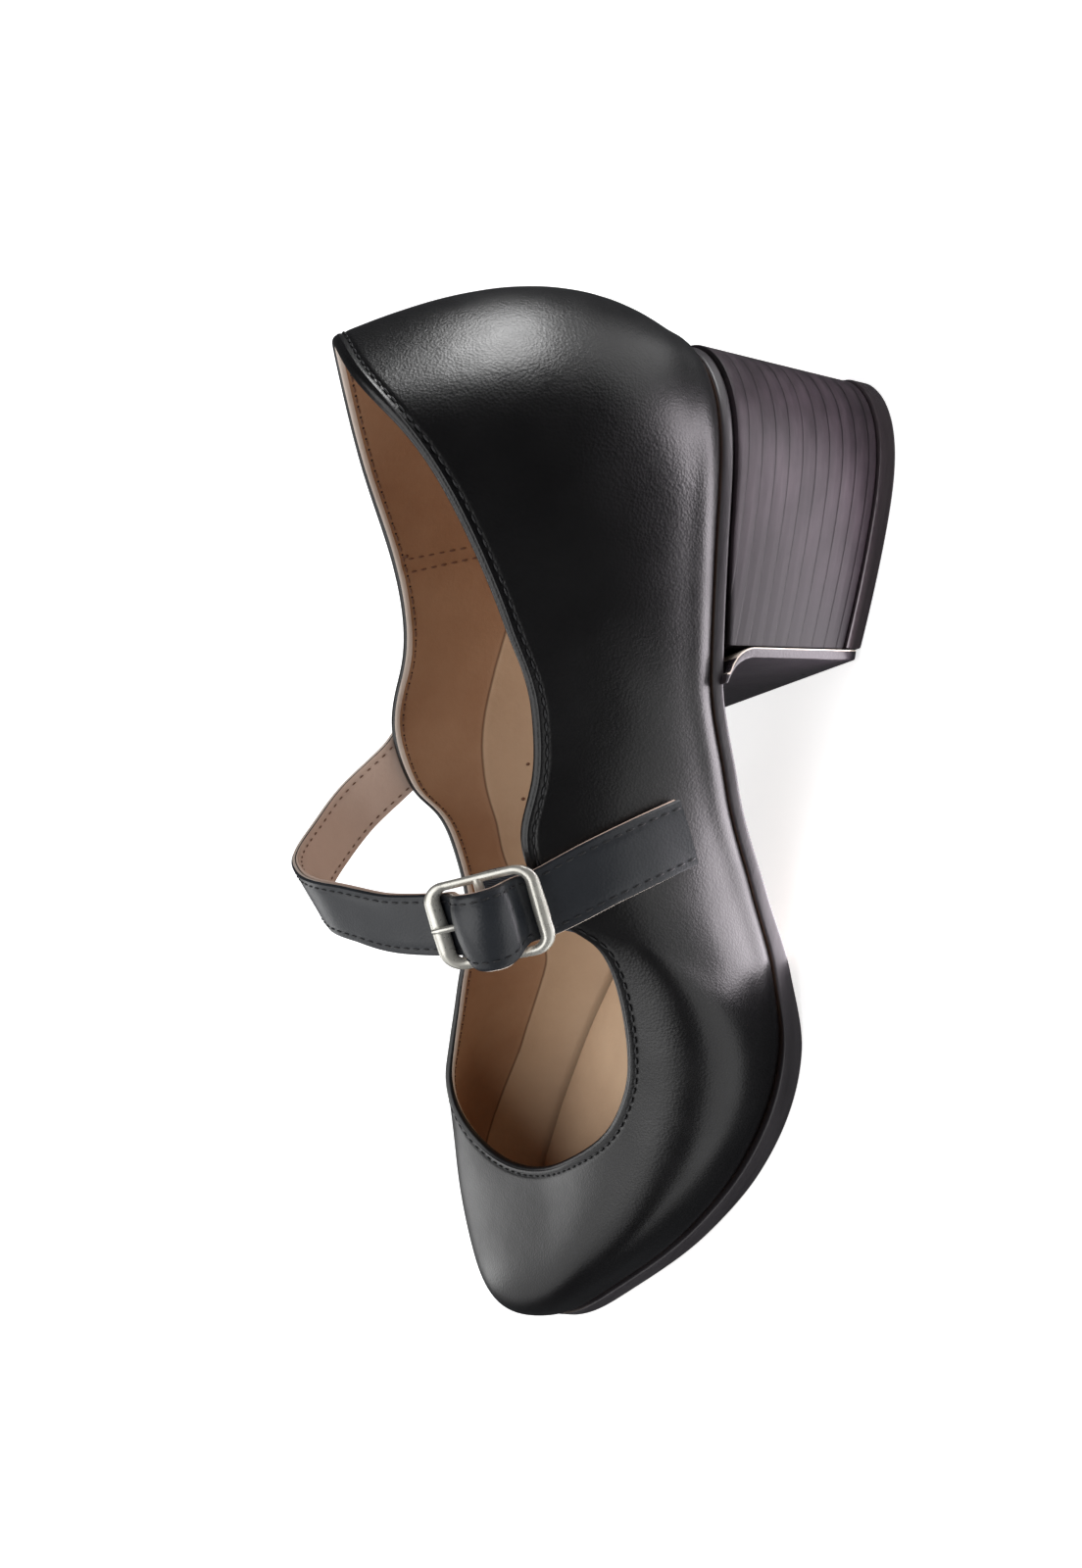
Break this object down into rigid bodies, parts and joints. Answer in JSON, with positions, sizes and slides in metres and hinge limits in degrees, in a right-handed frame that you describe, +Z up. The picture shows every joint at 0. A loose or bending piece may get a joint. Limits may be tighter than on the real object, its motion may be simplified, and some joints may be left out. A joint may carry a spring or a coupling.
{
  "type": "folk dance shoe",
  "caption": "Low-heeled leather dance shoe with an open instep, a slack instep strap and a small side buckle.",
  "frame": {"origin": "middle of the bounding box, on the floor", "axes": "+X towards the toe, +Y towards the outer side with the buckle, +Z up"},
  "size_m": [0.244, 0.0904, 0.1075],
  "materials": {
    "upper_leather": "smooth black leather, soft gloss",
    "insole_leather": "tan leather sock",
    "heel_stack": "dark stained stack, soft gloss",
    "lift_rubber": "dark, glossy edge",
    "sole_leather": "dark stained, satin",
    "strap_leather": "smooth black leather, soft gloss",
    "buckle_metal": "pale polished plating",
    "tab_cloth": "woven elastic tape"
  },
  "bodies": {
    "root": {"upper": "upper_leather", "insole": "insole_leather", "heel_block": "heel_stack", "top_lift": "lift_rubber", "outsole": "sole_leather", "strap": "strap_leather", "buckle_frame": "buckle_metal", "buckle_prong": "buckle_metal", "buckle_tab": "tab_cloth"}
  },
  "joints": []
}
